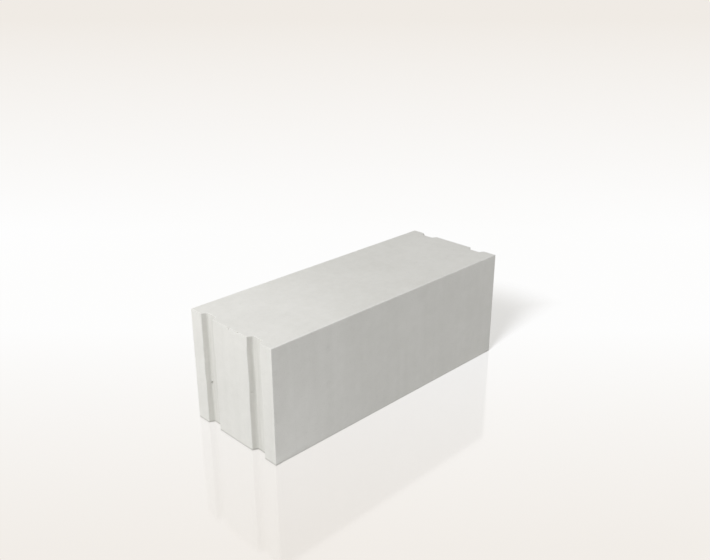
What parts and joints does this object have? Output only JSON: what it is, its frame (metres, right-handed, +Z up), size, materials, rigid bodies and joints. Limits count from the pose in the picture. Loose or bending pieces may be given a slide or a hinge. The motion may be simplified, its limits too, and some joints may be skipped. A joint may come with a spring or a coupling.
{
  "type": "aerated concrete block",
  "caption": "Rectangular aerated concrete wall block with flat sawn faces and upright trapezoid grooves in both ends, laid in courses to build walls.",
  "frame": {"origin": "centre of the lower bed face, which the block stands on", "axes": "+X along the length from one grooved end to the other, +Y across the width, +Z up through the course height"},
  "size_m": [0.65, 0.24, 0.24],
  "materials": {
    "aerated_concrete": "matt, fine pored, sawn"
  },
  "bodies": {
    "root": {"block": "aerated_concrete"}
  },
  "joints": []
}
